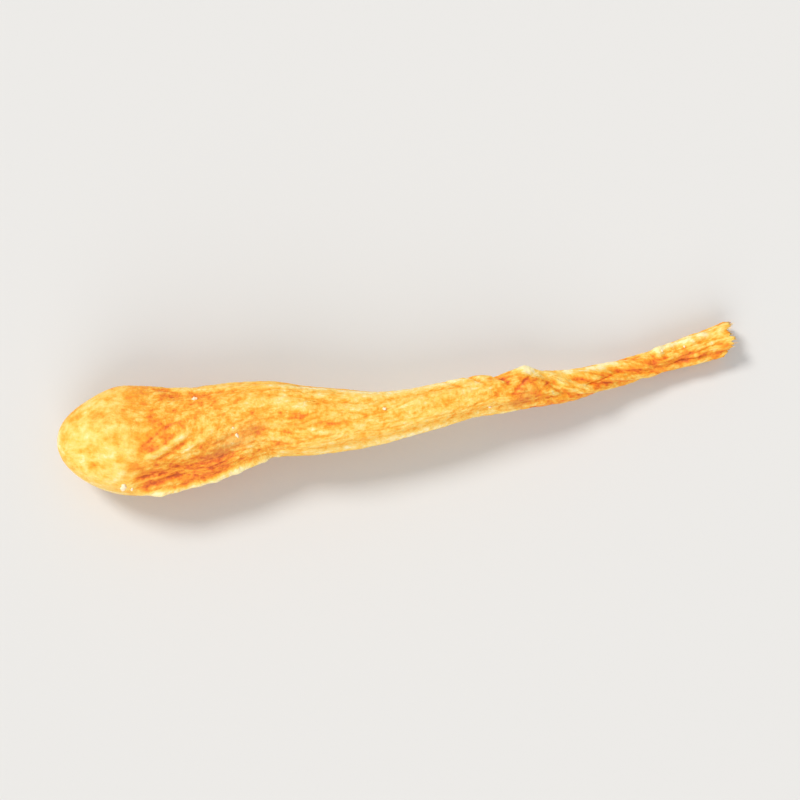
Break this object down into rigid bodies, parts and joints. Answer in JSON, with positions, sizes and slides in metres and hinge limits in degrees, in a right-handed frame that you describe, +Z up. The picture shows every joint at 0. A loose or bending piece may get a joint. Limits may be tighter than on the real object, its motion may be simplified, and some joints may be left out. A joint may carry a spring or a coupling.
{
  "type": "dried cordyceps fruiting body",
  "caption": "Dried club-headed fungus fruiting body lying on its side: smooth rounded head, furrowed neck and stem, thin wrung tail and a torn butt.",
  "frame": {"origin": "middle of the bounding box, at the bottom, on the surface that the piece lies on", "axes": "+X from the head's tip towards the torn butt, +Z up, +Y towards the side that the hump at the kink stands out on"},
  "size_m": [0.0414, 0.0068, 0.005],
  "materials": {
    "dried_skin": "matte"
  },
  "bodies": {
    "root": {"fruiting_body": "dried_skin"}
  },
  "joints": []
}
